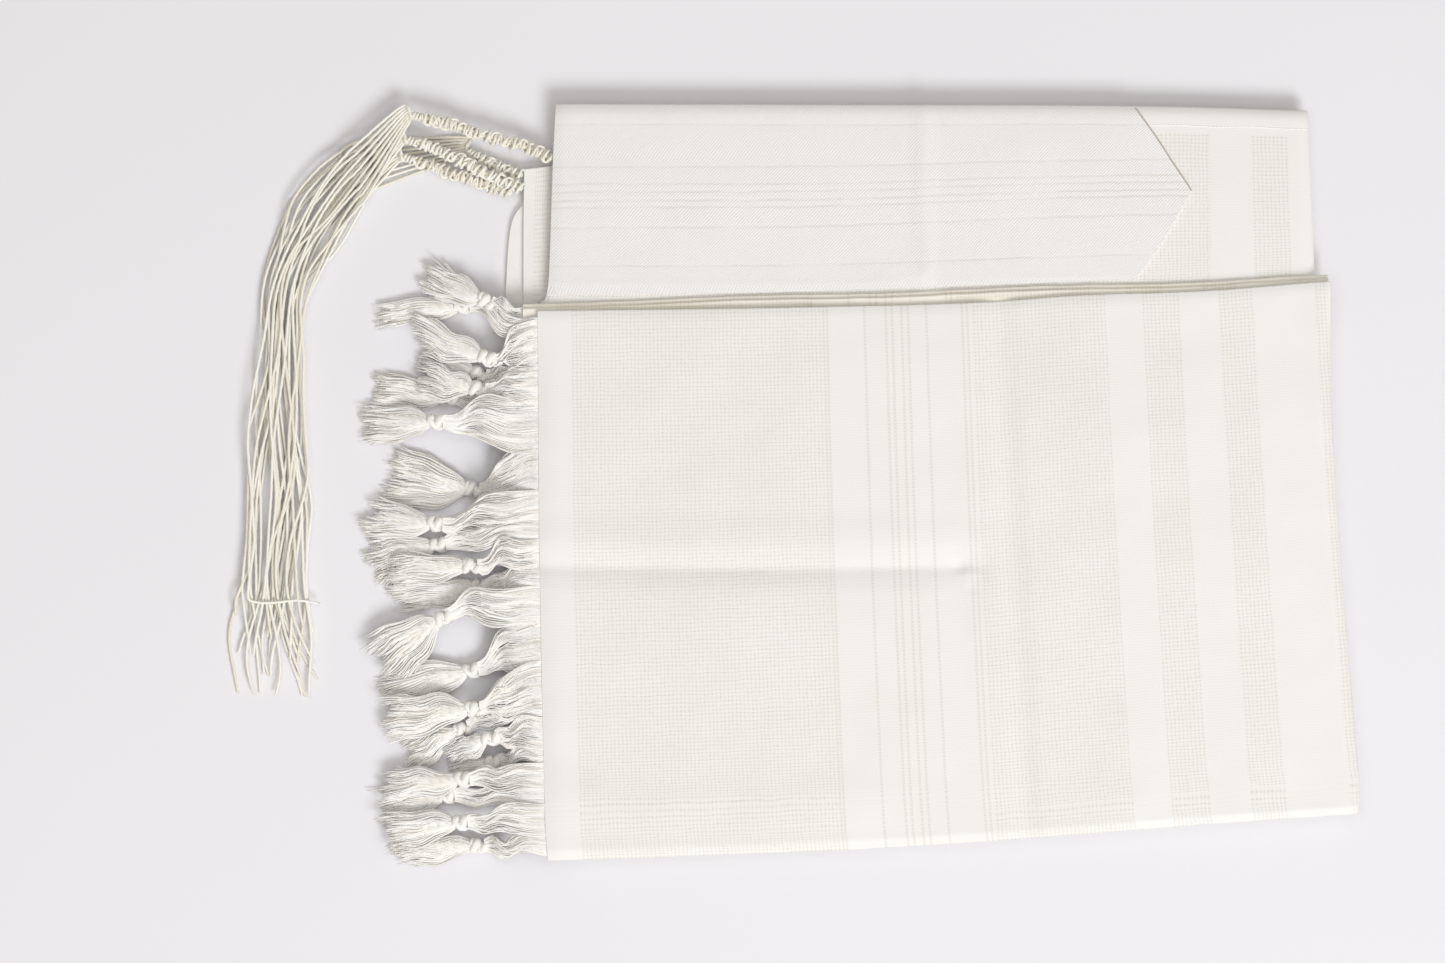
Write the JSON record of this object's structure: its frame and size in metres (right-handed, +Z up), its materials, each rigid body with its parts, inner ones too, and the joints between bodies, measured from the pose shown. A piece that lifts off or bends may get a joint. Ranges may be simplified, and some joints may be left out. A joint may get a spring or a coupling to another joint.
{
  "type": "tallit prayer shawl",
  "caption": "Folded ivory prayer shawl with woven stripes, a pointed neckband, knotted fringe along one side and wound corner tassels, lying flat.",
  "frame": {"origin": "middle of the folded stack, on its flat underside, where it rests on a surface", "axes": "+X to the right along the neckband, +Y towards the neckband's edge, +Z up"},
  "size_m": [0.587, 0.3975, 0.0217],
  "materials": {
    "ivory_cloth": "fine ivory wool and cotton cloth, plain, satin and gauze stripes, matt",
    "twill_band": "ivory twill neckband with woven lines, soft sheen",
    "fringe_yarn": "white fine yarns, knotted into tassels",
    "tzitzit_string": "cream plied wool string, wound and knotted"
  },
  "bodies": {
    "root": {"folded_stack": "ivory_cloth", "front_panel": "ivory_cloth", "upper_panel": "ivory_cloth", "fold_lip_lower": "ivory_cloth", "fold_lip_upper": "ivory_cloth", "corner_layer_lower": "ivory_cloth", "corner_layer_middle": "ivory_cloth", "atarah": "twill_band", "fringe_tassel_01": "fringe_yarn", "fringe_tassel_02": "fringe_yarn", "fringe_tassel_03": "fringe_yarn", "fringe_tassel_04": "fringe_yarn", "fringe_tassel_05": "fringe_yarn", "fringe_tassel_06": "fringe_yarn", "fringe_tassel_07": "fringe_yarn", "fringe_tassel_08": "fringe_yarn", "fringe_tassel_09": "fringe_yarn", "fringe_tassel_10": "fringe_yarn", "fringe_tassel_11": "fringe_yarn", "fringe_tassel_12": "fringe_yarn", "fringe_tassel_13": "fringe_yarn", "fringe_tassel_14": "fringe_yarn", "fringe_tassel_15": "fringe_yarn", "fringe_tassel_16": "fringe_yarn", "fringe_tassel_17": "fringe_yarn", "fringe_tassel_18": "fringe_yarn", "fringe_tassel_19": "fringe_yarn", "fringe_tassel_20": "fringe_yarn", "fringe_tassel_21": "fringe_yarn", "fringe_tassel_22": "fringe_yarn", "tzitzit_a_stem": "tzitzit_string", "tzitzit_a_strings": "tzitzit_string", "tzitzit_b_stem": "tzitzit_string", "tzitzit_b_strings": "tzitzit_string", "tzitzit_c_stem": "tzitzit_string", "tzitzit_c_strings": "tzitzit_string", "tzitzit_d_stem": "tzitzit_string", "tzitzit_d_strings": "tzitzit_string"}
  },
  "joints": []
}
